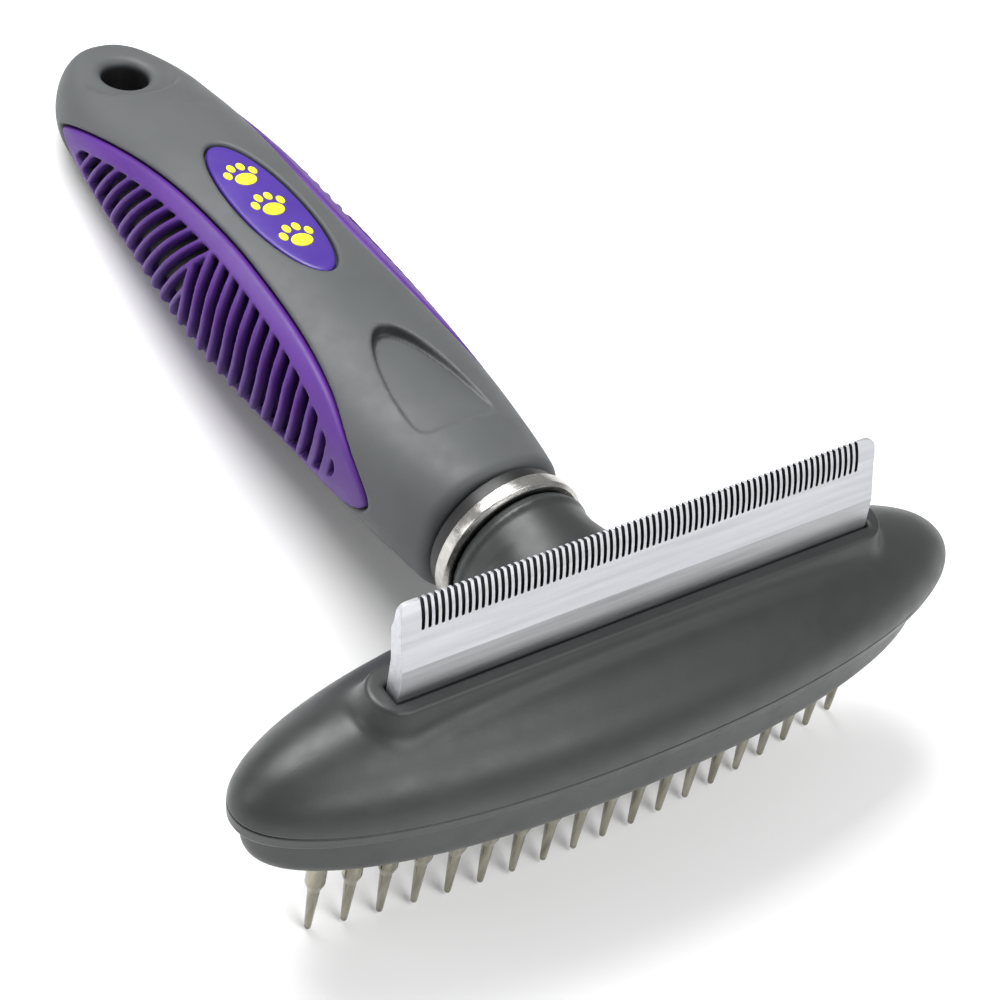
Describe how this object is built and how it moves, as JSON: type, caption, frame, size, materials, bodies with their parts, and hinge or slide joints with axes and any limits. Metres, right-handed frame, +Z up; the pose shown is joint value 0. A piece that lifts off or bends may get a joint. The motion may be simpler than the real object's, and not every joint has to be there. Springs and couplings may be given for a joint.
{
  "type": "undercoat rake",
  "caption": "Two-sided pet rake: a curved row of free-turning stepped steel pins under an oval head, a comb-cut deshedding blade on top, and a soft ribbed handle with a hanging hole.",
  "frame": {"origin": "centre of the footprint, on the floor that the pin tips and the hanging end of the handle stand on", "axes": "+X along the blade and the head, +Y from the head towards the hanging end of the handle, +Z up, away from the pins and through the blade"},
  "size_m": [0.1378, 0.1796, 0.0596],
  "materials": {
    "head_plastic": "semi-gloss moulded plastic, dark warm grey",
    "core_plastic": "matt moulded plastic, black",
    "grey_grip": "soft-touch moulded rubber, mid grey",
    "purple_grip": "soft-touch moulded rubber, violet",
    "badge_plastic": "gloss plastic, violet",
    "badge_yellow": "raised print, yellow",
    "blade_steel": "satin stainless steel",
    "pin_steel": "turned nickel-plated steel",
    "polished_ring": "polished metal ring",
    "plated_steel": "zinc-plated steel fasteners"
  },
  "bodies": {
    "tool": {"head_upper_shell": "head_plastic", "head_lower_shell": "head_plastic", "deshedding_blade": "blade_steel", "blade_clamp_bar": "plated_steel", "blade_screws": "plated_steel", "pin_retainer": "core_plastic", "retainer_screws": "plated_steel", "shell_screws": "plated_steel", "collar_ring": "polished_ring", "collar_spacer": "head_plastic", "neck_washer": "plated_steel", "neck_screw": "plated_steel", "handle_core": "core_plastic", "handle_overmold": "grey_grip", "badge_plate": "badge_plastic", "badge_print": "badge_yellow", "grip_left": "purple_grip", "grip_right": "purple_grip"},
    "rake_pin_01": {"rake_pin_01": "pin_steel"},
    "rake_pin_02": {"rake_pin_02": "pin_steel"},
    "rake_pin_03": {"rake_pin_03": "pin_steel"},
    "rake_pin_04": {"rake_pin_04": "pin_steel"},
    "rake_pin_05": {"rake_pin_05": "pin_steel"},
    "rake_pin_06": {"rake_pin_06": "pin_steel"},
    "rake_pin_07": {"rake_pin_07": "pin_steel"},
    "rake_pin_08": {"rake_pin_08": "pin_steel"},
    "rake_pin_09": {"rake_pin_09": "pin_steel"},
    "rake_pin_10": {"rake_pin_10": "pin_steel"},
    "rake_pin_11": {"rake_pin_11": "pin_steel"},
    "rake_pin_12": {"rake_pin_12": "pin_steel"},
    "rake_pin_13": {"rake_pin_13": "pin_steel"},
    "rake_pin_14": {"rake_pin_14": "pin_steel"},
    "rake_pin_15": {"rake_pin_15": "pin_steel"},
    "rake_pin_16": {"rake_pin_16": "pin_steel"},
    "rake_pin_17": {"rake_pin_17": "pin_steel"},
    "rake_pin_18": {"rake_pin_18": "pin_steel"},
    "rake_pin_19": {"rake_pin_19": "pin_steel"}
  },
  "joints": [
    {"name": "pin_01_spin", "type": "hinge", "parent": "tool", "child": "rake_pin_01", "pos_m": [-0.05271, -0.07584, 0.0213], "axis": [0, 0.2217, 0.9751], "continuous": true},
    {"name": "pin_02_spin", "type": "hinge", "parent": "tool", "child": "rake_pin_02", "pos_m": [-0.04686, -0.07694, 0.02144], "axis": [0, 0.2217, 0.9751], "continuous": true},
    {"name": "pin_03_spin", "type": "hinge", "parent": "tool", "child": "rake_pin_03", "pos_m": [-0.041, -0.07791, 0.02156], "axis": [0, 0.2217, 0.9751], "continuous": true},
    {"name": "pin_04_spin", "type": "hinge", "parent": "tool", "child": "rake_pin_04", "pos_m": [-0.03514, -0.07874, 0.02167], "axis": [0, 0.2217, 0.9751], "continuous": true},
    {"name": "pin_05_spin", "type": "hinge", "parent": "tool", "child": "rake_pin_05", "pos_m": [-0.02928, -0.07946, 0.02176], "axis": [0, 0.2217, 0.9751], "continuous": true},
    {"name": "pin_06_spin", "type": "hinge", "parent": "tool", "child": "rake_pin_06", "pos_m": [-0.02343, -0.08004, 0.02184], "axis": [0, 0.2217, 0.9751], "continuous": true},
    {"name": "pin_07_spin", "type": "hinge", "parent": "tool", "child": "rake_pin_07", "pos_m": [-0.01757, -0.08049, 0.0219], "axis": [0, 0.2217, 0.9751], "continuous": true},
    {"name": "pin_08_spin", "type": "hinge", "parent": "tool", "child": "rake_pin_08", "pos_m": [-0.01171, -0.08081, 0.02194], "axis": [0, 0.2217, 0.9751], "continuous": true},
    {"name": "pin_09_spin", "type": "hinge", "parent": "tool", "child": "rake_pin_09", "pos_m": [-0.00586, -0.08101, 0.02196], "axis": [0, 0.2217, 0.9751], "continuous": true},
    {"name": "pin_10_spin", "type": "hinge", "parent": "tool", "child": "rake_pin_10", "pos_m": [0, -0.08107, 0.02197], "axis": [0, 0.2217, 0.9751], "continuous": true},
    {"name": "pin_11_spin", "type": "hinge", "parent": "tool", "child": "rake_pin_11", "pos_m": [0.00586, -0.08101, 0.02196], "axis": [0, 0.2217, 0.9751], "continuous": true},
    {"name": "pin_12_spin", "type": "hinge", "parent": "tool", "child": "rake_pin_12", "pos_m": [0.01171, -0.08081, 0.02194], "axis": [0, 0.2217, 0.9751], "continuous": true},
    {"name": "pin_13_spin", "type": "hinge", "parent": "tool", "child": "rake_pin_13", "pos_m": [0.01757, -0.08049, 0.0219], "axis": [0, 0.2217, 0.9751], "continuous": true},
    {"name": "pin_14_spin", "type": "hinge", "parent": "tool", "child": "rake_pin_14", "pos_m": [0.02343, -0.08004, 0.02184], "axis": [0, 0.2217, 0.9751], "continuous": true},
    {"name": "pin_15_spin", "type": "hinge", "parent": "tool", "child": "rake_pin_15", "pos_m": [0.02928, -0.07946, 0.02176], "axis": [0, 0.2217, 0.9751], "continuous": true},
    {"name": "pin_16_spin", "type": "hinge", "parent": "tool", "child": "rake_pin_16", "pos_m": [0.03514, -0.07874, 0.02167], "axis": [0, 0.2217, 0.9751], "continuous": true},
    {"name": "pin_17_spin", "type": "hinge", "parent": "tool", "child": "rake_pin_17", "pos_m": [0.041, -0.07791, 0.02156], "axis": [0, 0.2217, 0.9751], "continuous": true},
    {"name": "pin_18_spin", "type": "hinge", "parent": "tool", "child": "rake_pin_18", "pos_m": [0.04686, -0.07694, 0.02144], "axis": [0, 0.2217, 0.9751], "continuous": true},
    {"name": "pin_19_spin", "type": "hinge", "parent": "tool", "child": "rake_pin_19", "pos_m": [0.05271, -0.07584, 0.0213], "axis": [0, 0.2217, 0.9751], "continuous": true}
  ]
}
